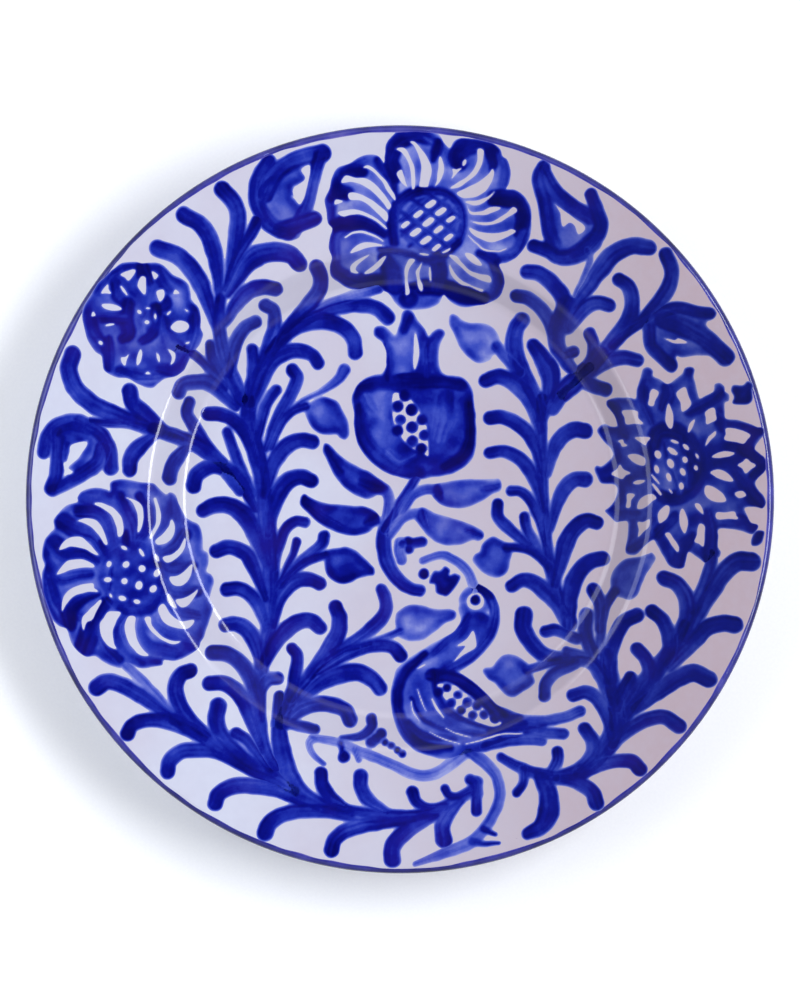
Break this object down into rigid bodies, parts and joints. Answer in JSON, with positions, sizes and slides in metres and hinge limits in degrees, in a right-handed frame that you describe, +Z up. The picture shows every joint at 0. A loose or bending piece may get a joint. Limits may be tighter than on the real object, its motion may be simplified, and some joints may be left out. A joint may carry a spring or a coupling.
{
  "type": "hand painted ceramic plate",
  "caption": "Round glazed earthenware plate with a wide flange and turned foot ring, painted in cobalt blue with a bird, a pomegranate, flowers and fronds; serves food or decorates a wall.",
  "frame": {"origin": "centre of the foot ring's resting face, on the axis of the plate", "axes": "+Z up along the axis of the plate, out of its painted face; +Y towards the top of the painting; +X to the painting's right"},
  "size_m": [0.3, 0.3, 0.0334],
  "materials": {
    "clay": "matte",
    "white_glaze": "gloss",
    "cobalt": "gloss"
  },
  "bodies": {
    "root": {"clay_body": "clay", "foot_ring": "clay", "face_glaze": "white_glaze", "back_glaze": "white_glaze", "base_glaze": "white_glaze", "rim_line": "cobalt", "left_frond": "cobalt", "right_frond": "cobalt", "bottom_frond": "cobalt", "pomegranate": "cobalt", "bird": "cobalt", "carnation": "cobalt", "sunflower": "cobalt", "basket_flower": "cobalt", "rosette": "cobalt", "upper_left_tulip": "cobalt", "left_tulip": "cobalt", "upper_right_tulip": "cobalt", "right_tulip": "cobalt", "upper_left_spray": "cobalt", "left_spray": "cobalt", "lower_left_spray": "cobalt", "center_lower_spray": "cobalt", "upper_right_spray": "cobalt", "lower_right_spray": "cobalt", "pomegranate_sprig": "cobalt", "bird_plume": "cobalt", "bird_stems": "cobalt", "clover": "cobalt"}
  },
  "joints": []
}
